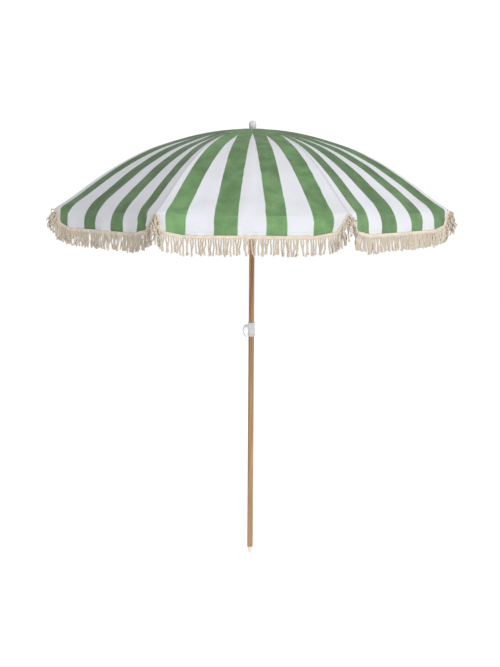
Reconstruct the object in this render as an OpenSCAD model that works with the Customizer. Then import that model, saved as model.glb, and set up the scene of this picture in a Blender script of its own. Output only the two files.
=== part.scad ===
// Beach umbrella: two-part pole, folding frame of eight ribs, striped canopy with a fringed valance.
// Origin on the pole's axis at the bottom edge of the lower tube, +Z up the pole. Millimetres.

/* [Pole] */
// Outer diameter of the lower tube
lower_d = 28; // [26:0.5:34]
// Outer diameter of the upper tube, which slides inside the lower one
upper_d = 25; // [22:0.5:27]
// Wall of both tubes
tube_wall = 1; // [0.8:0.1:1.4]
// Length of the bare spike below the lower tube
spike_h = 37; // [25:1:60]
// Height of the clamp's bottom edge
clamp_z = 1014; // [900:5:1100]
// Height of the clamp
clamp_h = 64; // [56:1:90]
// How far the upper tube reaches down from the clamp's bottom edge
insertion = 240; // [180:5:300]

/* [Canopy] */
// Distance of the rib tips from the pole's axis
canopy_r = 870; // [800:5:950]
// Height of the canopy's top
apex_z = 1960; // [1850:5:2050]
// Thickness the cloth is drawn with
cloth_t = 1.2; // [0.8:0.1:2]
// How far the valance hangs below the rib tips
valance_h = 85; // [60:1:110]
// Length of the fringe
fringe_h = 67; // [40:1:90]
// Thickness the fringe is drawn with
fringe_t = 5; // [3:0.5:8]

/* [Frame] */
// Radius of the circle of rib pivots in the hub, and of the stretcher ends in the runner
pivot_r = 28; // [24:0.5:34]
// Height of the rib pivots
pivot_z = 1952.5; // [1850:0.5:2050]
// Distance from the rib pivots down to the stretcher ends with the umbrella open
open_drop = 190; // [150:5:240]
// Width of a rib's channel
rib_w = 6; // [5:0.5:8]
// Height of a rib's channel
rib_h = 8; // [6:0.5:10]
// Thickness of the sheet-steel bars
bar_t = 3; // [2:0.5:4]

/* [Hidden] */
$fn = 64;
gap = 0.05;
bore_gap = 0.35;
half_gore = 22.5;
gores = 8;
lower_r = lower_d / 2;
upper_r = upper_d / 2;
upper_bore_r = upper_r - tube_wall;
lower_bore_r = lower_r - tube_wall;
groove_depth = 0.5;
groove_h = 5;
clamp_top = clamp_z + clamp_h;
hub_top = apex_z - 2.6;
hub_h = 15;
runner_pivot_z = pivot_z - open_drop;
rib_drop = 6.5;
hem_r = canopy_r * cos(half_gore);
hem_half = canopy_r * sin(half_gore);
rim_z = apex_z - 347;

// The canopy's shape along a rib: distance from the axis, and how far it has dropped from the top
dome = [
    [0, 0], [48, 1.3], [120, 7.5], [240, 28], [360, 59], [400, 73], [480, 102],
    [590, 157], [672, 208], [739, 255], [807, 306], [870, 347]
];
last = len(dome) - 1;
rivet_at = 5;

// A point of the shape, with its radius multiplied by k, moved by off along the outward normal
function across(i, k) = dome[min(i + 1, last)] - dome[max(i - 1, 0)];
function lean(i, k) = atan2(across(i, k)[1], across(i, k)[0] * k);
function at(i, off, k = 1) = [
    dome[i][0] * k * canopy_r / 870 + off * sin(lean(i, k)),
    apex_z - dome[i][1] + off * cos(lean(i, k))
];

rivet = at(rivet_at, -rib_drop - 0.5);
rib_tip = at(last, -rib_drop);
arm_angle = atan2(rivet[1] - runner_pivot_z, rivet[0] - pivot_r);

// Colours
white_plastic = [0.9, 0.9, 0.89];
pole_tan = [0.7, 0.54, 0.38];
steel = [0.75, 0.76, 0.78];
cloth_green = [0.36, 0.53, 0.33];
fringe_cream = [0.85, 0.79, 0.7];

module tube(r_out, r_in, z0, z1) {
    translate([0, 0, z0]) difference() {
        cylinder(r = r_out, h = z1 - z0);
        translate([0, 0, -1]) cylinder(r = r_in, h = z1 - z0 + 2);
    }
}

// Rib number i stands at this angle about the pole; number 1 is the first to the right of the front
module at_rib(i) {
    rotate([0, 0, -90 + half_gore + (i - 1) * 45]) children();
}

// Lays a drawing made in the plane of a rib (radius, height) upright, w thick and centred on the rib
module in_rib_plane(w) {
    translate([0, w / 2, 0]) rotate([90, 0, 0]) linear_extrude(height = w) children();
}

// ---- pole ----

module ground_spike() color(white_plastic) rotate_extrude() polygon([
    [0, -spike_h], [4.6, 1 - spike_h], [7.4, 3.8 - spike_h], [8.6, 8 - spike_h], [11.8, -7],
    [lower_r - 0.6, -6], [lower_r - 0.6, -gap], [lower_bore_r - gap, -gap],
    [lower_bore_r - gap, 34], [8, 34], [8, 4], [0, 0]
]);

module lower_tube() color(pole_tan) difference() {
    tube(lower_r, lower_bore_r, 0, clamp_z + 34);
    // groove that the clamp's collar snaps into
    tube(lower_r + 1, lower_r - groove_depth, clamp_z, clamp_z + groove_h);
}

module upper_tube() color(pole_tan) difference() {
    tube(upper_r, upper_bore_r, clamp_z - insertion, hub_top - hub_h - gap);
    // window of the runner catch
    translate([-2.6, -upper_r - 2, runner_pivot_z - 76]) cube([5.2, 6, 20.2]);
}

// ---- clamp ----

lever_x = -26;
lever_z = clamp_top - 18;
pin_r = 1.75;

module clamp_collar() color(white_plastic) difference() {
    union() {
        rotate_extrude() polygon([
            [lower_r + gap, clamp_z], [18, clamp_z], [18, clamp_z + 8], [16.6, clamp_z + 9.5],
            [16.6, clamp_z + 36], [15.9, clamp_z + 38], [15.9, clamp_top - 1], [14.9, clamp_top],
            [upper_r + 0.15, clamp_top], [upper_r + 0.15, clamp_z + 36], [lower_r + gap, clamp_z + 34.2],
            // bead that sits in the lower tube's groove
            [lower_r + gap, clamp_z + groove_h - 0.5], [lower_r - groove_depth + gap, clamp_z + groove_h - 1.2],
            [lower_r - groove_depth + gap, clamp_z + 1.2], [lower_r + gap, clamp_z + 0.5]
        ]);
        // ears that hold the lever's pin
        for (s = [-1, 1]) translate([0, s * 6 - 2, 0]) difference() {
            union() {
                translate([lever_x, 4, lever_z]) rotate([90, 0, 0]) cylinder(r = 6, h = 4);
                translate([lever_x, 0, lever_z - 6]) cube([lever_x * -1 - 13.2, 4, 12]);
            }
            translate([lever_x, 5, lever_z]) rotate([90, 0, 0]) cylinder(r = pin_r + gap, h = 6);
        }
    }
    // the collar is split down its left side, so that the lever can draw it tight
    translate([-20, -0.6, clamp_z + 38]) cube([8, 1.2, clamp_h]);
}

module lever_pin() color(steel)
    translate([lever_x, 8.6, lever_z]) rotate([90, 0, 0]) cylinder(r = pin_r, h = 17.2);

// The curved handle, drawn from the side: x to the left, height from the pin
lever_path = [
    [-28, 6], [-33.5, 3.5], [-38, -4], [-40, -14], [-40, -26], [-37, -38], [-30, -48],
    [-21, -53.5], [-18.6, -50.5], [-26, -43], [-31.5, -33], [-32.6, -24], [-32, -14],
    [-30.2, -7], [-27, -6]
];
module clamp_lever() color(white_plastic) difference() {
    union() {
        translate([lever_x, 3.8, lever_z]) rotate([90, 0, 0]) cylinder(r = 6, h = 7.6);
        translate([0, 3.8, lever_z]) rotate([90, 0, 0]) linear_extrude(height = 7.6) polygon(lever_path);
    }
    translate([lever_x, 5, lever_z]) rotate([90, 0, 0]) cylinder(r = pin_r + gap, h = 10);
}

// ---- top ----

module hub() color(white_plastic) difference() {
    union() {
        translate([0, 0, hub_top - hub_h]) cylinder(r = 34, h = hub_h);
        translate([0, 0, hub_top - hub_h - 32]) cylinder(r = upper_bore_r - gap, h = 33);
    }
    for (i = [1:gores]) at_rib(i)
        translate([20, -(bar_t + 0.6) / 2, hub_top - hub_h - 1]) cube([20, bar_t + 0.6, hub_h + 2]);
    translate([0, 0, pivot_z]) rotate_extrude() translate([pivot_r, 0]) circle(r = 1.3);
    translate([0, 0, hub_top - 25]) cylinder(r = 4.05, h = 26);
}

module hub_wire() color(steel)
    translate([0, 0, pivot_z]) rotate_extrude() translate([pivot_r, 0]) circle(r = 1.25);

module finial() color(white_plastic) rotate_extrude() polygon([
    [0, hub_top - 22], [4, hub_top - 22], [4, apex_z - 0.3], [13, apex_z - 0.3], [13.6, apex_z + 3],
    [15.6, apex_z + 7], [17, apex_z + 14], [17, apex_z + 20], [15.8, apex_z + 27],
    [13, apex_z + 33], [8.5, apex_z + 37], [3.5, apex_z + 38.4], [0, apex_z + 38.6]
]);

// The middle of the canopy, held between the hub and the finial
module crown() color(cloth_green) tube(45, 4.6, apex_z - 0.6 - cloth_t, apex_z - 0.6);

// ---- runner ----

module runner() color(white_plastic) difference() {
    rotate_extrude() polygon([
        [upper_r + bore_gap, runner_pivot_z - 54], [20, runner_pivot_z - 54], [20, runner_pivot_z - 48],
        [17, runner_pivot_z - 46], [17, runner_pivot_z - 8], [34, runner_pivot_z - 8],
        [34, runner_pivot_z + 8], [17, runner_pivot_z + 8], [17, runner_pivot_z + 16],
        [upper_r + bore_gap, runner_pivot_z + 16]
    ]);
    for (i = [1:gores]) at_rib(i)
        translate([21, -(bar_t + 1) / 2, runner_pivot_z - 9]) cube([20, bar_t + 1, 18]);
}

// The spring catch under the runner, drawn pressed into the tube, which is how the runner passes it
module catch() color(steel) {
    translate([-2.4, -upper_r + 0.4, runner_pivot_z - 75.8]) difference() {
        cube([4.8, 9, 19.8]);
        translate([-1, 5, 3]) cube([7, 5, 14]);
    }
}

// ---- ribs and stretchers ----

// A band that follows the canopy's shape under a rib, from one point of the shape to another
module rib_band(i0, i1, high, low) polygon(concat(
    [for (i = [i0:i1]) at(i, -rib_drop + high)],
    [for (i = [i1:-1:i0]) at(i, -rib_drop + low)]
));

module rib_shape() color(steel) difference() {
    union() {
        difference() {
            in_rib_plane(rib_w) rib_band(1, last, rib_h / 2, -rib_h / 2);
            in_rib_plane(rib_w - 2) rib_band(1, last, rib_h / 2 - 1, -rib_h / 2 - 3);
        }
        // flat tongue at the hub
        in_rib_plane(bar_t) {
            translate([pivot_r, pivot_z]) circle(r = 3.5);
            translate([pivot_r, pivot_z - 3.4]) square([24, 6.8]);
            rib_band(1, 2, rib_h / 2 - 0.5, -rib_h / 2);
        }
        // flattened eye that the canopy is sewn to
        in_rib_plane(rib_w - 1) rib_band(last - 1, last, rib_h / 2, rib_h / 2 - 3);
    }
    in_rib_plane(10) translate([pivot_r, pivot_z]) circle(r = 1.35);
    in_rib_plane(10) translate(rivet) circle(r = 1.5 + gap);
    // the rib stops short of the cloth's edge, and is sewn to it through a hole
    translate([canopy_r - 8, -10, 0]) cube([20, 20, 3000]);
    translate([canopy_r - 13, 0, 0]) cylinder(r = 1.5, h = 3000);
}
module rib(i) at_rib(i) rib_shape();

module rivet_shape() color(steel) in_rib_plane(rib_w + 0.4) translate(rivet) circle(r = 1.5);
module rivet_heads() color(steel) for (s = [0, 1]) mirror([0, s, 0])
    translate([rivet[0], rib_w / 2 + gap, rivet[1]]) rotate([-90, 0, 0]) cylinder(r = 2.8, h = 1.2);
module rib_rivet(i) at_rib(i) {
    rivet_shape();
    rivet_heads();
}

arm = norm([rivet[0] - pivot_r, rivet[1] - runner_pivot_z]);
module stretcher_shape() color(steel) in_rib_plane(bar_t)
    translate([pivot_r, runner_pivot_z]) rotate(arm_angle) difference() {
        union() {
            circle(r = 4);
            translate([0, -3.2]) square([arm, 6.4]);
            translate([arm, 0]) circle(r = 3.2);
        }
        circle(r = 1.35);
        translate([arm, 0]) circle(r = 1.6);
    }
module stretcher(i) at_rib(i) stretcher_shape();

// ---- canopy ----

// The cloth of one gore, seen from the side: it runs straight from rib to rib
module cloth_band() polygon(concat(
    [for (i = [1:last]) at(i, 0, cos(half_gore))],
    [for (i = [last:-1:1]) at(i, -cloth_t, cos(half_gore))]
));

// Half a gore, on the s side of a rib that lies along +X, just short of the next section
seam_gap = 0.3;
module half_gore_cloth(s) mirror([0, (1 - s) / 2, 0]) intersection() {
    rotate([0, 0, half_gore]) in_rib_plane(900) cloth_band();
    linear_extrude(height = 3000) polygon([
        [40, 0], [1000, 0],
        [1000, 1000 * tan(half_gore) - seam_gap], [40, 40 * tan(half_gore) - seam_gap]
    ]);
}

module canopy_shape() color(cloth_green) difference() {
    union() for (s = [-1, 1]) half_gore_cloth(s);
    cylinder(r = 45.4, h = 3000);
}
module canopy(i) at_rib(i) canopy_shape();

// The valance hangs from the rim; its lower corners are rounded up to the rib tips.
// Drawn flat: distance along the rim from the middle of the gore, and height
corner_r = 62;
flap_w = hem_half - 2.5;
module flap(h, w, top) {
    translate([0, rim_z - h]) square([w - corner_r, h - top]);
    translate([0, rim_z - h + corner_r]) square([w, h - corner_r - top]);
    intersection() {
        translate([w - corner_r, rim_z - h + corner_r]) circle(r = corner_r);
        translate([0, rim_z - h]) square([w, h - top]);
    }
}

// Stands a flat drawing along the rim of the half gore on the s side of a rib that lies along +X
module along_rim(s, r0, t) mirror([0, (1 - s) / 2, 0]) rotate([0, 0, half_gore])
    translate([r0, 0, 0]) rotate([90, 0, 90]) mirror([1, 0, 0]) linear_extrude(height = t) children();

module valance_shape() color(cloth_green) for (s = [-1, 1])
    along_rim(s, hem_r - cloth_t, cloth_t) intersection() {
        flap(valance_h, flap_w, 2.2);
        translate([0.2, 0]) square([hem_half, 3000]);
    }
module valance(i) at_rib(i) valance_shape();

// The fringe hangs below the hem, all the way round the rounded corner
module fringe_shape() color(fringe_cream) for (s = [-1, 1])
    along_rim(s, hem_r - cloth_t / 2 - fringe_t / 2, fringe_t) difference() {
        intersection() {
            flap(valance_h + fringe_h, flap_w, 24);
            translate([0.2, 0]) square([hem_half, 3000]);
        }
        translate([-1, 0]) flap(valance_h + 0.4, flap_w + 1.5, 0);
    }
module fringe(i) at_rib(i) fringe_shape();

ground_spike();
lower_tube();
clamp_collar();
clamp_lever();
lever_pin();
upper_tube();
hub();
hub_wire();
finial();
crown();
runner();
catch();
rib(1);  // rib_1
rib(2);  // rib_2
rib(3);  // rib_3
rib(4);  // rib_4
rib(5);  // rib_5
rib(6);  // rib_6
rib(7);  // rib_7
rib(8);  // rib_8
rib_rivet(1);  // rivet_1
rib_rivet(2);  // rivet_2
rib_rivet(3);  // rivet_3
rib_rivet(4);  // rivet_4
rib_rivet(5);  // rivet_5
rib_rivet(6);  // rivet_6
rib_rivet(7);  // rivet_7
rib_rivet(8);  // rivet_8
stretcher(1);  // stretcher_1
stretcher(2);  // stretcher_2
stretcher(3);  // stretcher_3
stretcher(4);  // stretcher_4
stretcher(5);  // stretcher_5
stretcher(6);  // stretcher_6
stretcher(7);  // stretcher_7
stretcher(8);  // stretcher_8
canopy(1);  // canopy_1
canopy(2);  // canopy_2
canopy(3);  // canopy_3
canopy(4);  // canopy_4
canopy(5);  // canopy_5
canopy(6);  // canopy_6
canopy(7);  // canopy_7
canopy(8);  // canopy_8
valance(1);  // valance_1
valance(2);  // valance_2
valance(3);  // valance_3
valance(4);  // valance_4
valance(5);  // valance_5
valance(6);  // valance_6
valance(7);  // valance_7
valance(8);  // valance_8
fringe(1);  // fringe_1
fringe(2);  // fringe_2
fringe(3);  // fringe_3
fringe(4);  // fringe_4
fringe(5);  // fringe_5
fringe(6);  // fringe_6
fringe(7);  // fringe_7
fringe(8);  // fringe_8
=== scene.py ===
"""Looks of the beach umbrella: striped cloth, flaps, fringe and materials around the CAD frame.

Everything is in metres in the row's frame: origin on the pole's axis, +Z up, -Y to the viewer.
A gore is the cloth between two ribs. It is cut down its middle here, because each half turns with
its own rib, and across into bands.
"""
import math
import random

import bpy
import numpy as np
from mathutils import Matrix, Vector


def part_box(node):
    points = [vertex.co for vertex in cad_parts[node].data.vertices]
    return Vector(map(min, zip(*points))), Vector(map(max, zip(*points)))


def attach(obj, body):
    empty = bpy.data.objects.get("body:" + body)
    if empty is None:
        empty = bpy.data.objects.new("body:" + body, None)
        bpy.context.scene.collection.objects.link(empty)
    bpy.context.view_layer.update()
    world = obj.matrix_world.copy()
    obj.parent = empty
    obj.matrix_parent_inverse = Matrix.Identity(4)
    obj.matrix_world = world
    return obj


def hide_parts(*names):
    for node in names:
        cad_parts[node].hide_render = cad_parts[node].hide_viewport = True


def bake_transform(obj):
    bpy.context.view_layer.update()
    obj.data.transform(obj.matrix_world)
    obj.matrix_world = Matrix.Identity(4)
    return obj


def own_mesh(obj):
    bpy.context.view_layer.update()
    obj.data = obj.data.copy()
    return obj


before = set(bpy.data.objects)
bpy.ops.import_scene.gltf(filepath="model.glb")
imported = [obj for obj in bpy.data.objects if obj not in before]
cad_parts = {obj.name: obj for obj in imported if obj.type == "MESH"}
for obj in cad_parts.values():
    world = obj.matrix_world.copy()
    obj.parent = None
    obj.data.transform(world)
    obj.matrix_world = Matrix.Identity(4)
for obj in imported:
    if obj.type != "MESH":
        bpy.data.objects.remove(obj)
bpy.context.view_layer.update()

# ---- sizes, from the frame ----

RIBS = 8
HALF_GORE = math.radians(180 / RIBS)
SIN, COS = math.sin(HALF_GORE), math.cos(HALF_GORE)
HEM_RADIUS = -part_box("canopy_1")[0].y
REACH = HEM_RADIUS / COS
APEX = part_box("crown")[1].z + 0.0006
# the rim's drop below the top at a rib's tip
DROP = 0.347
RIM = APEX - DROP
HALF_CHORD = REACH * SIN
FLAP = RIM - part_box("valance_1")[0].z
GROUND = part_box("ground_spike")[0].z

CROWN_EDGE = 0.030
NECK_EDGE = 0.075
CLOTH_LIFT = 0.0003

# The canopy along a rib: distance from the axis and drop from the top, as shares of the reach
DOME = np.array([
    (0, 0), (0.138, 0.0086), (0.276, 0.0322), (0.46, 0.0839), (0.552, 0.1172), (0.678, 0.1805),
    (0.772, 0.2391), (0.849, 0.2931), (0.928, 0.3517), (1, 0.3989),
])


def smooth(x, low=0.0, high=1.0):
    """0 below low, 1 above high, and a smooth step between."""
    t = np.clip((x - low) / (high - low), 0, 1)
    return t * t * (3 - 2 * t)


def dome_slopes():
    """The curve's slope at each of its points, from the points on either side."""
    x, y = DOME.T
    chord = np.diff(y) / np.diff(x)
    inner = (chord[:-1] + chord[1:]) / 2
    return np.concatenate([[0], inner, [chord[-1] * 0.95]])


SLOPES = dome_slopes()


def drop(r):
    """How far the canopy has dropped at distance r along a rib: a smooth curve through DOME."""
    v = np.clip(r / REACH, 0, 1)
    x, y = DOME.T
    k = np.clip(np.searchsorted(x, v, side="right") - 1, 0, len(x) - 2)
    span = x[k + 1] - x[k]
    t = (v - x[k]) / span
    h = (
        (1 + 2 * t) * (1 - t) ** 2 * y[k] + t * (1 - t) ** 2 * span * SLOPES[k]
        + t * t * (3 - 2 * t) * y[k + 1] - t * t * (1 - t) * span * SLOPES[k + 1]
    )
    return h * REACH


# ---- the cloth's shape ----
# A point is found from: the rib's number, the side s of it (+1 or -1), t from 0 at the rib to 1
# in the middle of the gore, and reach, which runs out along the rib and then on down the flap.

# The bend over the rim, up the panel and down the flap: crisp at the ribs and wide between them
RIM_CRISP = 0.006
RIM_WIDE_UP = 0.076
RIM_WIDE_DOWN = 0.058

# How far the stretched cloth sags between the ribs
SAG = 0.0055

GORE_PHASES = np.random.default_rng(7).uniform(0, 2 * math.pi, (RIBS, 6))


def gore_place(rib, s, t):
    """The gore's number and the place across it, from -1 to 1, the same from both its ribs."""
    if s > 0:
        return rib % RIBS, -1 + t
    return (rib - 1) % RIBS, 1 - t


# Edges of the four green stripes across a gore, as shares of its width: each gore is cut a little
# differently. Gore 7 is the front one, 6 the one to its left and 0 the one to its right.
USUAL_EDGES = (0.056, 0.152, 0.304, 0.431, 0.584, 0.698, 0.832, 0.930)
GORE_EDGES = {
    7: (0.049, 0.151, 0.300, 0.423, 0.572, 0.679, 0.818, 0.915),
    6: (0.055, 0.140, 0.317, 0.430, 0.590, 0.700, 0.847, 0.915),
    0: (0.065, 0.163, 0.295, 0.440, 0.590, 0.715, 0.825, 0.955),
}

# Painted shade on the green of each gore, lightest on the front one, for gores from 0 at the right of the
# front round to 7, the front one
GORE_PAINTED_SHADE = (0.80, 0.84, 0.80, 0.86, 0.82, 0.78, 0.69, 1.0)


def painted_shade_map(gore, across):
    """The painted shade on the green of each gore, as a map, blended across the seams between gores."""
    here = GORE_PAINTED_SHADE[gore]
    beside = np.where(across > 0, GORE_PAINTED_SHADE[(gore + 1) % RIBS], GORE_PAINTED_SHADE[gore - 1])
    share = 0.5 * smooth(np.abs(across), 0.97, 1.0)
    tone = here * (1 - share) + beside * share
    return np.column_stack([tone.ravel(), np.zeros(tone.size)])


def stripe_units(gore, across):
    """The place across a gore in stripes: white is centred on 0, 2, 4, 6 and 8, green between."""
    edges = GORE_EDGES.get(gore, USUAL_EDGES)
    return np.interp((across + 1) / 2, (0, *edges, 1), (0, *(k + 0.5 for k in range(8)), 8))


def panel(reach, t):
    """A point of the flat-stretched panel: outward along the rib, sideways, and height."""
    along = reach * SIN * t
    return reach - along * SIN, along * COS, APEX - drop(reach)


def flap_point(depth, t):
    """A point of the flat-hanging flap, at a depth below the rim."""
    along = HALF_CHORD * t
    return REACH - along * SIN, along * COS, RIM - depth


def cloth_point(rib, s, t, reach):
    """The cloth's surface in the rib's own frame, where the rib lies along +X."""
    t = np.asarray(t, float)
    reach = np.asarray(reach, float)
    gore, across = gore_place(rib, s, t)
    p = GORE_PHASES[gore]
    depth = np.maximum(reach - REACH, 0)
    on_panel = np.array(panel(np.minimum(reach, REACH), t))
    on_flap = np.array(flap_point(depth, t))
    place = np.where(reach <= REACH, on_panel, on_flap)
    middle = 0.35 * smooth(t, 0.0, 0.35) + 0.65 * smooth(t, 0.0, 0.8)
    up = RIM_CRISP + RIM_WIDE_UP * middle
    down = RIM_CRISP + RIM_WIDE_DOWN * middle
    w = (reach - (REACH - up)) / (up + down)
    a = np.array(panel(REACH - up, t))
    b = np.array(flap_point(0 * t, t))
    c = np.array(flap_point(down, t))
    q = np.clip(w, 0, 1)
    bend = (1 - q) ** 2 * a + 2 * q * (1 - q) * b + q * q * c
    x, y, z = np.where((w > 0) & (w < 1), bend, place)
    # between the ribs the stretched cloth sags a little, and faint pulls run down it
    v = np.minimum(reach / REACH, 1)
    mid = t * (2 - t)
    ease = smooth(v, 0.08, 0.3) * (1 - smooth(reach, REACH - 0.03, REACH + 0.03))
    sag = SAG * mid * np.sin(math.pi * v) ** 0.8
    pull = 0.0007 * np.sin(across * 17 + p[0]) * mid + 0.0006 * np.sin(across * 29 + v * 5 + p[1]) * mid
    cross = 0.0008 * mid * np.sin(v * 38 + p[2] + across * 2.5) * smooth(v, 0.5, 0.8)
    lift = (-sag + pull + cross) * ease
    x = x + lift * 0.45
    z = z + lift * 0.9
    # the flap hangs in soft waves that grow towards the hem
    hang = smooth(depth, 0.0, FLAP)
    wave = 0.0042 * np.sin(across * 8.3 + p[3]) + 0.0022 * np.sin(across * 19 + p[4])
    corner = np.exp(-(t * HALF_CHORD / 0.07) ** 2)
    out = hang * (wave * smooth(t, 0.02, 0.25) + 0.006 * corner * math.cos(p[5]))
    out = out + 0.0012 * np.sin(across * 61 + p[1]) * smooth(depth, FLAP * 0.6, FLAP) * smooth(t, 0, 0.2)
    x = x + out * COS
    y = y + out * SIN
    # a hair above the CAD skin, so that it lies on the ribs and not in them
    return np.array([x, s * y, z + CLOTH_LIFT])


def cloth_normal(rib, s, t, reach):
    """The outward normal of cloth_point, by small differences."""
    e = 1e-4
    dt = cloth_point(rib, s, t + e, reach) - cloth_point(rib, s, t - e, reach)
    dr = cloth_point(rib, s, t, reach + e) - cloth_point(rib, s, t, reach - e)
    n = np.cross(dr, dt, axis=0) * s
    return n / np.maximum(np.linalg.norm(n, axis=0), 1e-12)


def rib_angle(rib):
    """The angle of rib 0 to 7 about the pole; rib 0 is the first to the right of the front."""
    return math.radians(-90) + HALF_GORE * (1 + 2 * rib)


def turned(points, rib):
    """Points or directions of a rib's own frame, as rows, in the row's frame."""
    c, s = math.cos(rib_angle(rib)), math.sin(rib_angle(rib))
    x, y, z = points
    return np.column_stack([np.ravel(x * c - y * s), np.ravel(x * s + y * c), np.ravel(z)])


# ---- mesh building ----


def grid_faces(rows, columns, flip=False):
    """Quads over a grid of points numbered row by row."""
    k = (np.arange(rows - 1)[:, None] * columns + np.arange(columns - 1)[None, :]).ravel()
    quads = np.column_stack([k, k + 1, k + columns + 1, k + columns])
    return quads[:, ::-1] if flip else quads


def ring_faces(rings, sides):
    """Quads over rings of points, each ring closed on itself, numbered ring by ring."""
    ring, place = np.divmod(np.arange((rings - 1) * sides), sides)
    a = ring * sides + place
    b = ring * sides + (place + 1) % sides
    return np.column_stack([a, a + sides, b + sides, b])


def running_length(line):
    """The length along a line of points, from its start to each of them."""
    return np.concatenate([[0], np.cumsum(np.linalg.norm(np.diff(line, axis=0), axis=1))])


def make_mesh(name, points, faces, uvs=None, normals=None):
    """A mesh object; uvs maps a name to one (u, v) a vertex, normals holds one direction a vertex."""
    mesh = bpy.data.meshes.new(name)
    mesh.from_pydata(np.asarray(points).tolist(), [], np.asarray(faces).tolist())
    corner = np.zeros(len(mesh.loops), int)
    mesh.loops.foreach_get("vertex_index", corner)
    for key, uv in (uvs or {}).items():
        layer = mesh.uv_layers.new(name=key)
        layer.data.foreach_set("uv", np.asarray(uv, float)[corner].ravel())
    mesh.polygons.foreach_set("use_smooth", np.ones(len(mesh.polygons), bool))
    mesh.update()
    if normals is not None:
        mesh.normals_split_custom_set(np.asarray(normals)[corner].tolist())
    obj = bpy.data.objects.new(name, mesh)
    bpy.context.scene.collection.objects.link(obj)
    return obj


def joined(parts):
    """Several (points, faces, extra arrays) as one, with the faces renumbered."""
    points, faces, start = [], [], 0
    extras = [[] for _ in parts[0][2]]
    for p, f, more in parts:
        points.append(p)
        faces.append(np.asarray(f) + start)
        for store, values in zip(extras, more):
            store.append(values)
        start += len(p)
    return np.vstack(points), np.vstack(faces), [np.vstack(e) for e in extras]


# ---- shader helpers ----


class Shader:
    """Short ways to add nodes to one material."""

    def __init__(self, name):
        self.material = bpy.data.materials.new(name)
        self.material.use_nodes = True
        self.nodes = self.material.node_tree.nodes
        self.links = self.material.node_tree.links
        self.bsdf = self.nodes["Principled BSDF"]

    def plug(self, socket, value):
        if isinstance(value, bpy.types.NodeSocket):
            self.links.new(value, socket)
        else:
            socket.default_value = value

    def math(self, operation, a, b=0.0):
        node = self.nodes.new("ShaderNodeMath")
        node.operation = operation
        for socket, value in zip(node.inputs, (a, b)):
            self.plug(socket, value)
        return node.outputs[0]

    def step(self, value, low, high, to_low=0.0, to_high=1.0):
        """A smooth step of value between low and high."""
        node = self.nodes.new("ShaderNodeMapRange")
        node.interpolation_type = "SMOOTHSTEP"
        for socket, v in zip(node.inputs, (value, low, high, to_low, to_high)):
            self.plug(socket, v)
        return node.outputs[0]

    def uv(self, name):
        node = self.nodes.new("ShaderNodeUVMap")
        node.uv_map = name
        return node.outputs[0]

    def place(self):
        return self.nodes.new("ShaderNodeTexCoord").outputs["Object"]

    def split(self, vector):
        node = self.nodes.new("ShaderNodeSeparateXYZ")
        self.plug(node.inputs[0], vector)
        return node.outputs

    def scaled(self, vector, scale):
        node = self.nodes.new("ShaderNodeMapping")
        self.plug(node.inputs["Vector"], vector)
        node.inputs["Scale"].default_value = scale
        return node.outputs[0]

    def noise(self, vector, scale, detail=3.0, roughness=0.5):
        node = self.nodes.new("ShaderNodeTexNoise")
        self.plug(node.inputs["Vector"], vector)
        node.inputs["Scale"].default_value = scale
        node.inputs["Detail"].default_value = detail
        node.inputs["Roughness"].default_value = roughness
        return node.outputs["Fac"]

    def mix(self, factor, a, b, kind="MIX"):
        node = self.nodes.new("ShaderNodeMix")
        node.data_type = "RGBA"
        node.blend_type = kind
        self.plug(node.inputs["Factor"], factor)
        self.plug(node.inputs[6], a)
        self.plug(node.inputs[7], b)
        return node.outputs[2]

    def bump(self, height, distance, strength=1.0, normal=None):
        node = self.nodes.new("ShaderNodeBump")
        node.inputs["Strength"].default_value = strength
        node.inputs["Distance"].default_value = distance
        self.plug(node.inputs["Height"], height)
        if normal is not None:
            self.plug(node.inputs["Normal"], normal)
        return node.outputs[0]

    def finish(self, color, roughness, normal=None, **fixed):
        self.plug(self.bsdf.inputs["Base Color"], color)
        self.plug(self.bsdf.inputs["Roughness"], roughness)
        if normal is not None:
            self.plug(self.bsdf.inputs["Normal"], normal)
        for key, value in fixed.items():
            self.bsdf.inputs[key.replace("_", " ")].default_value = value
        return self.material


def grey(value):
    return (value, value, value, 1.0)


# ---- materials ----

GREEN = (0.162, 0.300, 0.130, 1)
DEEP_GREEN = (0.098, 0.182, 0.078, 1)
WHITE = (0.695, 0.715, 0.775, 1)
WARM_WHITE = (0.655, 0.665, 0.695, 1)
CREAM = (0.70, 0.63, 0.53, 1)
# painted shade for the grooves between the strands' plies and between the braid's chevrons
CREAM_PAINTED_SHADE = (0.33, 0.26, 0.19, 1)

THREAD = 0.0016
SEAM = 0.0048
STITCH_ROW = 0.0036
STITCH_PITCH = 0.0042
HEM_TURN = 0.020
HEADING = 0.013
HEADING_LAP = 0.0045
PLY_PITCH = 0.011


def weave(s, thread):
    """Height of a plain weave from the cloth map, with threads that many metres apart."""
    x, y, _ = s.split(s.uv("cloth"))
    turn = 2 * math.pi / thread
    warp = s.math("SINE", s.math("MULTIPLY", x, turn))
    weft = s.math("SINE", s.math("MULTIPLY", y, turn))
    over = s.math("MULTIPLY", warp, weft)
    rib = s.math("ADD", s.math("ABSOLUTE", warp), s.math("ABSOLUTE", weft))
    return s.math("ADD", s.math("MULTIPLY", over, 0.5), s.math("MULTIPLY", rib, 0.25))


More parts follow.
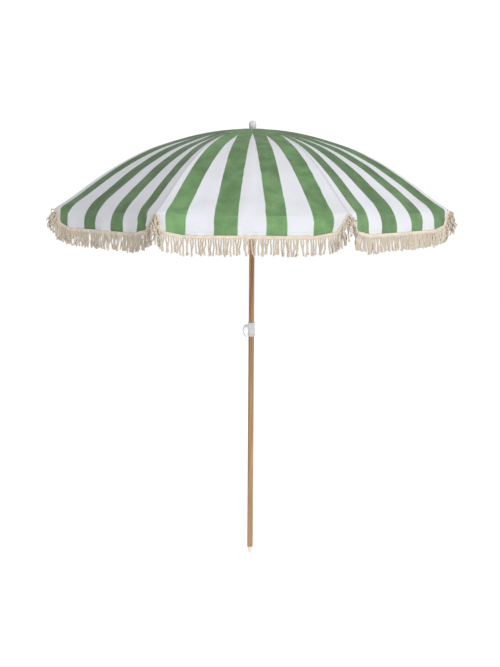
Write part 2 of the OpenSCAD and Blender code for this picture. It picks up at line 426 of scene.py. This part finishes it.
def striped_cloth():
    """Woven cloth: four green and three white stripes a gore, and half a white one at each rib.

    In the stripes map u counts stripes across the gore and v is the reach as a share of REACH.
    """
    s = Shader("striped_cloth")
    u, v, _ = s.split(s.uv("stripes"))
    cloth = s.uv("cloth")
    x, y, _ = s.split(cloth)
    # stripe edges wander by a thread or two
    wander = s.math("MULTIPLY", s.math("SUBTRACT", s.noise(cloth, 26.0, 2.0), 0.5), 0.05)
    # the white stripes grow from points near the crown to half of the cloth at the rim
    grow = s.nodes.new("ShaderNodeFloatCurve")
    curve = grow.mapping.curves[0]
    curve.points[0].location = (0.29, 0.0)
    curve.points[1].location = (1.0, 0.5)
    widths = ((0.34, 0.09), (0.435, 0.25), (0.58, 0.335), (0.71, 0.405), (0.81, 0.448), (0.9, 0.48))
    for place, width in widths:
        curve.points.new(place, width)
    grow.mapping.update()
    # the middle stripe's point reaches higher than the others
    from_middle = s.math("ABSOLUTE", s.math("SUBTRACT", u, 4.0))
    late = s.step(from_middle, 0.5, 1.6, -0.012, 0.045)
    late = s.math("MULTIPLY", late, s.step(v, 0.5, 0.8, 1.0, 0.0))
    s.plug(grow.inputs["Value"], s.math("SUBTRACT", v, late))
    from_white = s.math("PINGPONG", u, 1.0)
    inside = s.math("ADD", s.math("SUBTRACT", grow.outputs[0], from_white), wander)
    white = s.step(inside, -0.018, 0.018)
    # slow variation, streaks along the threads, and dust
    slow = s.noise(cloth, 3.2, 4.0, 0.6)
    fine = s.noise(s.scaled(cloth, (60, 900, 60)), 1.0, 2.0)
    weft = s.noise(s.scaled(cloth, (900, 60, 60)), 1.0, 2.0)
    streak = s.math("ADD", s.math("MULTIPLY", fine, 0.5), s.math("MULTIPLY", weft, 0.5))
    blotch = s.noise(cloth, 17.0, 4.0, 0.6)
    mottle = s.math("ADD", s.math("MULTIPLY", slow, 0.6), s.math("MULTIPLY", blotch, 0.4))
    green = s.mix(s.step(mottle, 0.38, 0.62), DEEP_GREEN, GREEN)
    # painted light and shade: the green is darker over the dome than on the flaps, and differs from gore to
    # gore, lightest on the front one
    light = s.math("MULTIPLY", s.split(s.uv("tone"))[0], s.step(v, 0.80, 1.07, 1.0, 1.2))
    green = s.mix(1.0, green, light, "MULTIPLY")
    pale = s.mix(s.step(slow, 0.3, 0.7), WARM_WHITE, WHITE)
    # painted shade: the white is a little darker on the flaps
    pale = s.mix(1.0, pale, s.step(v, 0.80, 1.07, 1.0, 0.93), "MULTIPLY")
    color = s.mix(white, green, pale)
    color = s.mix(s.step(streak, 0.35, 0.65, 0.0, 0.16), color, grey(0.0), "SOFT_LIGHT")
    # the seam over the rib: a folded edge each side, two rows of stitches, and painted shade in the groove
    # between the edges
    across = s.math("ABSOLUTE", x)
    felled = s.math("SUBTRACT", 1.0, s.step(across, SEAM, SEAM + 0.0012))
    groove = s.math("SUBTRACT", 1.0, s.step(across, 0.0004, 0.0016))
    off_row = s.math("ABSOLUTE", s.math("SUBTRACT", across, STITCH_ROW))
    row = s.math("SUBTRACT", 1.0, s.step(off_row, 0.0003, 0.0007))
    dash = s.step(s.math("SINE", s.math("MULTIPLY", y, 2 * math.pi / STITCH_PITCH)), -0.2, 0.2)
    stitch = s.math("MULTIPLY", row, dash)
    # painted shade: the groove down the seam's middle is darkened
    color = s.mix(s.math("MULTIPLY", groove, 0.55), color, grey(0.16))
    color = s.mix(s.math("MULTIPLY", stitch, 0.35), color, (0.52, 0.5, 0.44, 1))
    # hem of the flap, turned up and sewn
    hem = s.math("SUBTRACT", v, 1.0 + (FLAP - HEM_TURN) / REACH)
    hem_row = s.math("SUBTRACT", 1.0, s.step(s.math("ABSOLUTE", hem), 0.0004, 0.0011))
    dash_across = s.step(s.math("SINE", s.math("MULTIPLY", x, 2 * math.pi / STITCH_PITCH)), -0.2, 0.2)
    color = s.mix(s.math("MULTIPLY", s.math("MULTIPLY", hem_row, dash_across), 0.3), color, grey(0.3))
    threads = s.bump(weave(s, THREAD), 0.00022, 0.5)
    crumple = s.bump(s.noise(cloth, 22.0, 5.0, 0.55), 0.0035, 0.35, threads)
    seam_height = s.math("SUBTRACT", s.math("MULTIPLY", felled, 0.8), s.math("MULTIPLY", groove, 0.7))
    seam_height = s.math("ADD", seam_height, s.math("MULTIPLY", stitch, 0.3))
    raised = s.bump(s.math("SUBTRACT", seam_height, s.math("MULTIPLY", hem_row, 0.4)), 0.0012, 0.8, crumple)
    rough = s.step(streak, 0.3, 0.7, 0.78, 0.92)
    return s.finish(color, rough, raised, Sheen_Weight=0.15, Sheen_Roughness=0.5,
                    Specular_IOR_Level=0.25)


def twisted_cotton():
    """Cream twisted strands: the map's first number runs round the strand, the second down it."""
    s = Shader("twisted_cotton")
    around, down, _ = s.split(s.uv("cloth"))
    wound = s.math("MULTIPLY", around, 4 * math.pi)
    ply = s.math("ADD", wound, s.math("MULTIPLY", down, 4 * math.pi / PLY_PITCH))
    groove = s.step(s.math("SINE", ply), -1.0, 0.2)
    fibre = s.noise(s.scaled(s.place(), (260, 260, 900)), 1.0, 3.0)
    slow = s.noise(s.place(), 9.0, 3.0)
    base = s.mix(s.step(slow, 0.3, 0.7), (0.62, 0.535, 0.43, 1), CREAM)
    # painted shade: the cream darkens in the grooves between the plies
    color = s.mix(s.math("MULTIPLY", s.math("SUBTRACT", 1.0, groove), 0.95), base, CREAM_PAINTED_SHADE)
    color = s.mix(s.step(fibre, 0.3, 0.7, 0.0, 0.2), color, (0.85, 0.78, 0.68, 1))
    twist = s.bump(groove, 0.0009, 0.8)
    fuzz = s.bump(fibre, 0.0006, 0.5, twist)
    return s.finish(color, s.step(fibre, 0.3, 0.7, 0.8, 0.95), fuzz, Sheen_Weight=0.3,
                    Specular_IOR_Level=0.2)


def braided_cotton():
    """The cream heading that the strands hang from: a narrow braid in chevrons."""
    s = Shader("braided_cotton")
    along, down, _ = s.split(s.uv("cloth"))
    fold = s.math("ABSOLUTE", s.math("SUBTRACT", down, HEADING / 2))
    slanted = s.math("ADD", along, s.math("MULTIPLY", fold, 1.2))
    chevron = s.math("SINE", s.math("MULTIPLY", slanted, 2 * math.pi / 0.005))
    ridge = s.step(chevron, -0.8, 0.6)
    slow = s.noise(s.place(), 12.0, 3.0)
    color = s.mix(s.step(slow, 0.3, 0.7), (0.70, 0.62, 0.50, 1), (0.80, 0.72, 0.61, 1))
    # painted shade: the cream darkens between the chevron ridges
    color = s.mix(s.math("MULTIPLY", s.math("SUBTRACT", 1.0, ridge), 0.45), color, CREAM_PAINTED_SHADE)
    edge = s.step(fold, 0.0048, 0.0058)
    height = s.math("SUBTRACT", ridge, s.math("MULTIPLY", edge, 0.6))
    return s.finish(color, 0.9, s.bump(height, 0.0012, 0.7), Sheen_Weight=0.25, Specular_IOR_Level=0.2)


def white_plastic():
    """Moulded plastic, a little yellowed, with a faint orange-peel and handling scuffs."""
    s = Shader("white_plastic")
    place = s.place()
    slow = s.noise(place, 14.0, 4.0)
    scuff = s.noise(s.scaled(place, (90, 90, 900)), 1.0, 4.0, 0.65)
    worn = s.step(scuff, 0.56, 0.70)
    color = s.mix(s.step(slow, 0.3, 0.7), (0.63, 0.615, 0.635, 1), (0.69, 0.68, 0.70, 1))
    color = s.mix(s.math("MULTIPLY", worn, 0.3), color, (0.52, 0.49, 0.44, 1))
    rough = s.math("ADD", s.step(slow, 0.3, 0.7, 0.30, 0.38), s.math("MULTIPLY", worn, 0.22))
    return s.finish(color, rough, s.bump(s.noise(place, 700.0, 2.0), 0.00012, 0.35))


def wood_look(name, light, dark):
    """A tube coated to look like pale wood: long grain lines up the pole under a satin lacquer."""
    s = Shader(name)
    place = s.place()
    grain = s.noise(s.scaled(place, (190, 190, 3.2)), 1.0, 5.0, 0.62)
    bands = s.noise(s.scaled(place, (55, 55, 0.9)), 1.0, 3.0)
    pores = s.noise(s.scaled(place, (900, 900, 26)), 1.0, 2.0)
    color = s.mix(s.step(bands, 0.35, 0.65), dark, light)
    color = s.mix(s.step(grain, 0.42, 0.62, 0.0, 0.5), color, dark, "MULTIPLY")
    pore = s.step(pores, 0.60, 0.70)
    color = s.mix(s.math("MULTIPLY", pore, 0.35), color, (0.16, 0.085, 0.045, 1))
    rough = s.step(grain, 0.3, 0.7, 0.30, 0.46)
    return s.finish(color, rough, s.bump(grain, 0.0002, 0.25), Coat_Weight=0.12, Coat_Roughness=0.25)


def bright_steel():
    """Zinc-plated steel, brushed round."""
    s = Shader("bright_steel")
    place = s.place()
    brush = s.noise(s.scaled(place, (60, 60, 2600)), 1.0, 3.0)
    spangle = s.noise(place, 160.0, 3.0)
    color = s.mix(s.step(spangle, 0.35, 0.65), (0.50, 0.51, 0.53, 1), (0.66, 0.67, 0.69, 1))
    return s.finish(color, s.step(brush, 0.3, 0.7, 0.24, 0.42), s.bump(brush, 0.00006, 0.3), Metallic=1.0)


def powder_coat():
    """White powder coating on the ribs and stretchers, chipped to grey steel here and there."""
    s = Shader("powder_coat")
    place = s.place()
    slow = s.noise(place, 11.0, 3.0)
    chip = s.step(s.noise(place, 130.0, 4.0, 0.6), 0.66, 0.70)
    color = s.mix(s.step(slow, 0.3, 0.7), (0.66, 0.655, 0.64, 1), (0.76, 0.755, 0.74, 1))
    color = s.mix(chip, color, (0.27, 0.25, 0.23, 1))
    peel = s.bump(s.noise(place, 900.0, 2.0), 0.00015, 0.4)
    return s.finish(color, s.step(slow, 0.3, 0.7, 0.38, 0.5), s.bump(chip, -0.0002, 0.6, peel))


# ---- canopy ----

# Outer edges of the bands, as distances along the rib
BANDS = [0.11, 0.15, 0.195, 0.24, 0.29, 0.345, 0.40, 0.46, 0.52, 0.58, 0.64, 0.70, 0.755, 0.81, REACH]
# Columns from the rib to mid gore, a little closer together towards the middle
COLUMNS = 1 - (1 - np.linspace(0, 1, 15)) ** 1.25
ROW_STEP = 0.010


def section_band(name, rib, inner, outer, material, sides=(-1, 1)):
    """The cloth on one or both sides of a rib between two distances along it, as one sheet."""
    rows = max(3, round((outer - inner) / ROW_STEP) + 1)
    # the outermost band holds the start of the bend over the rim
    if outer >= REACH - 1e-6:
        rows *= 2
    reach, t = np.meshgrid(np.linspace(inner, outer, rows), COLUMNS, indexing="ij")
    parts = []
    for s in sides:
        gore, across = gore_place(rib, s, t)
        tone = painted_shade_map(gore, across)
        points = turned(cloth_point(rib, s, t, reach), rib)
        normals = turned(cloth_normal(rib, s, t, reach), rib)
        stripes = np.column_stack([stripe_units(gore, across).ravel(), (reach / REACH).ravel()])
        cloth = np.column_stack([(s * t * reach * SIN).ravel(), (reach * 1.12).ravel()])
        faces = grid_faces(rows, len(COLUMNS), flip=s > 0)
        parts.append((points, faces, [normals, stripes, cloth, tone]))
    points, faces, (normals, stripes, cloth, tone) = joined(parts)
    maps = {"stripes": stripes, "cloth": cloth, "tone": tone}
    piece = make_mesh(name, points, faces, maps, normals)
    if len(sides) == 2:
        weld(piece)
    piece.data.materials.append(material)
    # cut flat, the band is a trapezium as wide at its outer edge as the cloth is there
    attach(piece, f"rib_{rib + 1}")
    return piece


def weld(piece):
    """Joins the two halves of a sheet along the rib, and keeps each side's own shading there."""
    mesh = piece.data
    normals = np.zeros(len(mesh.loops) * 3, np.float32)
    mesh.corner_normals.foreach_get("vector", normals)
    modifier = piece.modifiers.new("weld", "WELD")
    modifier.merge_threshold = 1e-6
    bpy.context.view_layer.update()
    graph = bpy.context.evaluated_depsgraph_get()
    merged = bpy.data.meshes.new_from_object(piece.evaluated_get(graph))
    piece.modifiers.clear()
    piece.data = merged
    merged.name = piece.name
    if len(merged.loops) * 3 == len(normals):
        merged.normals_split_custom_set(normals.reshape(-1, 3).tolist())


def make_canopy(material):
    for rib in range(RIBS):
        neck = section_band(f"canopy_{rib + 1}_neck", rib, CROWN_EDGE, NECK_EDGE, material)
        # the neck is left with no parent, its place baked into its mesh
        neck.parent = None
        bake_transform(neck)
        edges = [NECK_EDGE] + BANDS
        for k, (inner, outer) in enumerate(zip(edges, edges[1:])):
            for s, side in ((-1, "right"), (1, "left")):
                name = f"canopy_{rib + 1}_band_{k + 1}_{side}"
                piece = section_band(name, rib, inner, outer, material, (s,))
                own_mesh(piece)
                if k == 0 and s < 0:
                    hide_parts(f"canopy_{rib + 1}")


def make_crown(material):
    """The disc of cloth under the finial."""
    rings = 6
    spokes = RIBS * 2 * (len(COLUMNS) - 1)
    inner = 0.010
    all_green = (1.0, 0.05)
    # the crown's green takes this share in the same painted-shade map as the gores
    lightness = 0.85
    points, stripes, cloth = [], [], []
    for ring in np.linspace(inner, CROWN_EDGE, rings):
        for rib in range(RIBS):
            for s, ts in ((-1, COLUMNS[::-1][:-1]), (1, COLUMNS[:-1])):
                for t in ts:
                    points.append(turned(cloth_point(rib, s, t, ring)[:, None], rib)[0])
                    stripes.append(all_green)
                    cloth.append(points[-1][:2])
    tone = np.column_stack([np.full(len(points), lightness), np.zeros(len(points))])
    maps = {"stripes": stripes, "cloth": cloth, "tone": tone}
    piece = make_mesh("canopy_crown", points, ring_faces(rings, spokes), maps)
    piece.data.materials.append(material)
    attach(piece, "upper_pole")
    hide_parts("crown")


# ---- flaps and fringe ----

# Rows of a flap, and the fringe: its strands' length, thickness, spacing and mesh, and the places along the
# hem and up the notch that they hang from, closer in the notch
FLAP_ROWS = 19
STRAND = 0.063
STRAND_RADIUS = 0.0031
STRAND_STEP = 0.0087
STRAND_SIDES = 7
STRAND_ROWS = 30
HEM_PLACES = 160
NOTCH_PLACES = 40
NOTCH_CROWD = 1.55


def notch(rib, s):
    """How far the flap's edge stands from the rib at the hem, on one side of a rib."""
    if rib == 0:
        return 0.037 if s < 0 else 0.042
    if rib == RIBS - 1:
        return 0.012 if s > 0 else 0.050
    return 0.035 + 0.008 * math.sin(rib * 2.3 + s)


def flap_edge(rib, s, q):
    """Distance of the flap's edge from the rib tip, at share q of the way down it."""
    return notch(rib, s) * q ** 1.15


def flap_depth(rib, s, along):
    """Depth of the hem below the rim, which rises towards the notch in a rounded corner."""
    away = (along - notch(rib, s)) / 0.095
    return FLAP * (0.80 + 0.20 * smooth(away, -0.2, 1.0))


def flap_grid(rib, s, t, q):
    """t and reach of a place on the flap: t from its edge to mid gore, q from the rim to the hem.

    At the rim the columns match the canopy's.
    """
    edge = flap_edge(rib, s, q)
    along = edge + (HALF_CHORD - edge) * t
    depth = q * flap_depth(rib, s, along)
    return along / HALF_CHORD, REACH + depth


def ride_flap(piece, rib):
    """Hangs a flap, or a part of its fringe, on its valance's body."""
    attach(piece, f"valance_{rib + 1}")
    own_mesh(piece)


def make_flap(name, rib, s, material):
    """The cloth that hangs from the rim on one side of a rib."""
    q, t = np.meshgrid(np.linspace(0, 1, FLAP_ROWS), COLUMNS, indexing="ij")
    place, reach = flap_grid(rib, s, t, q)
    points = turned(cloth_point(rib, s, place, reach), rib)
    normals = turned(cloth_normal(rib, s, place, reach), rib)
    gore, across = gore_place(rib, s, place)
    stripes = np.column_stack([stripe_units(gore, across).ravel(), (reach / REACH).ravel()])
    cloth = np.column_stack([(s * place * HALF_CHORD + 0.02 * s).ravel(), reach.ravel()])
    faces = grid_faces(FLAP_ROWS, len(COLUMNS), flip=s > 0)
    maps = {"stripes": stripes, "cloth": cloth, "tone": painted_shade_map(gore, across)}
    piece = make_mesh(name, points, faces, maps, normals)
    piece.data.materials.append(material)
    return piece


def hem_path(rib, s):
    """Places along the flap's free edge, from mid gore along the hem, then up the notch."""
    ts = np.linspace(1, 0, HEM_PLACES)
    hem = np.array([flap_grid(rib, s, t, 1.0) for t in ts])
    edge = np.array([flap_grid(rib, s, 0.0, q) for q in np.linspace(1, 0.04, NOTCH_PLACES)[1:]])
    return np.vstack([hem, edge])


def path_points(rib, s, path, lift):
    """The path in the rib's frame, lifted off the flap by a little."""
    place, reach = path.T
    return (cloth_point(rib, s, place, reach) + lift * cloth_normal(rib, s, place, reach)).T


def strand_marks(line, path):
    """Where strands hang, even along the hem and closer up the notch, and the running length."""
    length = running_length(line)
    in_notch = np.arange(len(path)) >= HEM_PLACES
    crowd = np.where(in_notch, NOTCH_CROWD, 1.0)
    total = np.concatenate([[0], np.cumsum(np.diff(length) * crowd[1:])])
    count = int(total[-1] / STRAND_STEP)
    return np.interp((np.arange(count) + 0.5) * total[-1] / count, total, length), length


def make_heading(name, rib, s, material):
    """The braid that the strands hang from, sewn over the hem and the notch's edges."""
    path = hem_path(rib, s)
    line = path_points(rib, s, path, 0.0012)
    count = len(line)
    tangent = np.gradient(line, axis=0)
    tangent /= np.linalg.norm(tangent, axis=1)[:, None]
    place, reach = path.T
    normal = cloth_normal(rib, s, place, reach).T
    # away from the cloth, in its own plane
    away = np.cross(tangent, normal) * s
    away /= np.linalg.norm(away, axis=1)[:, None]
    length = running_length(line)
    # the braid's section: distance past the hem, and rise off the cloth
    profile = [(-HEADING_LAP, -0.0004), (-0.0040, 0.0009), (-0.001, 0.0014), (0.003, 0.0014),
               (0.0075, 0.0010), (0.0085, -0.0004), (0.003, -0.0030), (-0.0035, -0.0028)]
    points, cloth = [], []
    for offset, rise in profile:
        points.append(line + away * offset + normal * rise)
        cloth.append(np.column_stack([length, np.full(count, offset + HEADING_LAP)]))
    points = np.array(points).transpose(1, 0, 2).reshape(-1, 3)
    cloth = np.array(cloth).transpose(1, 0, 2).reshape(-1, 2)
    # one side of the rib mirrors the other, so its faces turn over
    corners = [0, 3, 2, 1] if s < 0 else [1, 2, 3, 0]
    faces = ring_faces(count, len(profile))[:, corners]
    piece = make_mesh(name, turned(points.T, rib), faces, {"cloth": cloth})
    piece.data.materials.append(material)
    return piece


def strand_mesh(root, down, bend, curl, radius, length, phase):
    """One twisted strand: two plies wound round each other, frayed a little at its end.

    It swings curl metres to either side on its way down.
    """
    rows, sides = STRAND_ROWS, STRAND_SIDES
    u = np.linspace(0, 1, rows)
    centre = root + np.outer(u * length, down) + np.outer(u * u * length, bend)
    around = np.arange(sides) * 2 * math.pi / sides
    turn = phase + 2 * math.pi * u * length / PLY_PITCH
    thick = radius * (1 + 0.22 * smooth(u, 0.86, 0.97)) * np.where(u > 0.985, 0.55, 1)
    lobe = 1 + 0.20 * np.cos(2 * (around[None, :] - turn[:, None]))
    ring = thick[:, None] * lobe
    side = np.cross(down, [0.3, 0.9, 0.1])
    side /= np.linalg.norm(side)
    other = np.cross(down, side)
    swing = curl * smooth(u, 0.0, 0.3)
    centre = centre + np.outer(swing * np.sin(9.5 * u + 3 * phase), side)
    centre = centre + np.outer(swing * np.cos(7.0 * u + 5 * phase), other)
    points = centre[:, None, :] + ring[..., None] * (
        np.cos(around)[None, :, None] * side + np.sin(around)[None, :, None] * other
    )
    round_it = np.broadcast_to(around / (2 * math.pi) - phase / (2 * math.pi), (rows, sides))
    down_it = np.broadcast_to((u * length)[:, None], (rows, sides))
    cloth = np.stack([round_it, down_it], axis=-1)
    return points.reshape(-1, 3), cloth.reshape(-1, 2)


def make_strands(name, rib, s, material, rng):
    """The strands along the free edge on one side of a rib, as one piece."""
    path = hem_path(rib, s)
    line = path_points(rib, s, path, 0.0)
    marks, length = strand_marks(line, path)
    faces = ring_faces(STRAND_ROWS, STRAND_SIDES)
    parts = []
    for mark in marks:
        root = np.array([np.interp(mark, length, line[:, k]) for k in range(3)])
        depth = np.interp(mark, length, path[:, 1]) - REACH
        # strands high in the notch stand out over those below, and droop at their ends
        high = float(1 - smooth(depth, 0.0, FLAP * 0.72))
        outward = np.array([COS, s * SIN, 0]) * (1 - high) + np.array([1, 0, 0]) * high
        lean = 0.95 * high * rng.uniform(0.6, 1.3) + rng.gauss(0.03, 0.045)
        spread = rng.gauss(0, 0.07) + rng.gauss(-0.05, 0.3) * high
        sideways = np.array([-SIN, s * COS, 0]) * spread
        down = np.array([0, 0, -1.0 + 0.45 * high]) + outward * lean + sideways
        down /= np.linalg.norm(down)
        droop = np.array([rng.gauss(0, 0.035), rng.gauss(0, 0.035), -0.5 * high])
        bend = droop - outward * 0.35 * high
        reach_down = STRAND * rng.uniform(0.90, 1.05)
        radius = STRAND_RADIUS * rng.uniform(0.9, 1.08)
        curl = 0.0012 + 0.0065 * high * rng.uniform(0.4, 1.3)
        phase = rng.uniform(0, math.pi)
        points, cloth = strand_mesh(root, down, bend, curl, radius, reach_down, phase)
        parts.append((points, faces, [cloth]))
    points, faces, (cloth,) = joined(parts)
    piece = make_mesh(name, turned(points.T, rib), faces, {"cloth": cloth})
    piece.data.materials.append(material)
    return piece


def make_flaps(cloth_material, braid_material, strand_material):
    rng = random.Random(11)
    for rib in range(RIBS):
        for s, side in ((-1, "right"), (1, "left")):
            label = f"{rib + 1}_{side}"
            flap = make_flap(f"valance_{label}", rib, s, cloth_material)
            heading = make_heading(f"fringe_heading_{label}", rib, s, braid_material)
            strands = make_strands(f"fringe_strands_{label}", rib, s, strand_material, rng)
            ride_flap(flap, rib)
            ride_flap(heading, rib)
            ride_flap(strands, rib)
            if s < 0:
                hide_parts(f"valance_{rib + 1}")
                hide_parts(f"fringe_{rib + 1}")


# ---- CAD nodes that stay ----


def paint(names, material):
    for name in names:
        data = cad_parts[name].data
        data.materials.clear()
        data.materials.append(material)


def paint_frame():
    plastic, steel, coat = white_plastic(), bright_steel(), powder_coat()
    paint(["ground_spike", "clamp_collar", "clamp_lever", "hub", "finial", "runner"], plastic)
    paint(["lever_pin", "hub_wire", "catch"], steel)
    paint([f"rivet_{k + 1}" for k in range(RIBS)], steel)
    paint([f"{kind}_{k + 1}" for kind in ("rib", "stretcher") for k in range(RIBS)], coat)
    paint(["lower_tube"], wood_look("wood_look_lower", (0.445, 0.262, 0.128, 1), (0.345, 0.193, 0.088, 1)))
    paint(["upper_tube"], wood_look("wood_look_upper", (0.525, 0.290, 0.132, 1), (0.40, 0.205, 0.085, 1)))


# ---- stage ----


def make_stage():
    bpy.ops.mesh.primitive_plane_add(size=30, location=(0, 0, GROUND - 0.0005))
    floor = bpy.context.active_object
    floor.name = "floor"
    s = Shader("pale_floor")
    floor.data.materials.append(s.finish(grey(0.9), 0.9, Specular_IOR_Level=0.0,
                                         Emission_Color=grey(1.0), Emission_Strength=0.62))


def soft_light(name, place, size, power, color):
    light = bpy.data.lights.new(name, "AREA")
    light.shape = "DISK"
    light.size = size
    light.energy = power
    light.color = color
    obj = bpy.data.objects.new(name, light)
    bpy.context.scene.collection.objects.link(obj)
    obj.location = place
    aim = Vector(place) - Vector((0, 0, 1.5))
    obj.rotation_euler = aim.to_track_quat("Z", "Y").to_euler()


def make_light():
    world = bpy.data.worlds.new("studio")
    bpy.context.scene.world = world
    world.use_nodes = True
    nodes, links = world.node_tree.nodes, world.node_tree.links
    background = nodes["Background"]
    background.inputs["Color"].default_value = grey(1.0)
    background.inputs["Strength"].default_value = 0.42
    seen = nodes.new("ShaderNodeBackground")
    seen.inputs["Color"].default_value = grey(1.0)
    seen.inputs["Strength"].default_value = 1.05
    path = nodes.new("ShaderNodeLightPath")
    mix = nodes.new("ShaderNodeMixShader")
    links.new(path.outputs["Is Camera Ray"], mix.inputs[0])
    links.new(background.outputs[0], mix.inputs[1])
    links.new(seen.outputs[0], mix.inputs[2])
    links.new(mix.outputs[0], nodes["World Output"].inputs[0])
    soft_light("key", (1.9, -4.3, 4.3), 2.6, 195, (1.0, 0.99, 0.975))
    soft_light("side", (4.2, 0.5, 3.0), 2.5, 12, (0.97, 0.98, 1.0))
    soft_light("fill", (-3.8, -2.4, 2.5), 3.0, 9, (1.0, 0.98, 0.94))
    soft_light("back", (-1.2, 4.6, 2.3), 3.0, 70, (0.99, 0.99, 1.0))


def make_camera():
    data = bpy.data.cameras.new("camera")
    data.lens = 38.62
    data.sensor_width = 36
    data.shift_y = -0.125
    camera = bpy.data.objects.new("camera", data)
    bpy.context.scene.collection.objects.link(camera)
    pitch, roll = math.radians(90 - 5.3), math.radians(0.35)
    stand = Matrix.Translation((-0.0083, -3.262, 1.7146))
    camera.matrix_world = stand @ Matrix.Rotation(pitch, 4, "X") @ Matrix.Rotation(roll, 4, "Z")
    bpy.context.scene.camera = camera


def main():
    make_camera()
    make_light()
    make_stage()
    cloth = striped_cloth()
    make_crown(cloth)
    make_canopy(cloth)
    make_flaps(cloth, braided_cotton(), twisted_cotton())
    paint_frame()
    bpy.context.scene.view_settings.view_transform = "Standard"


main()
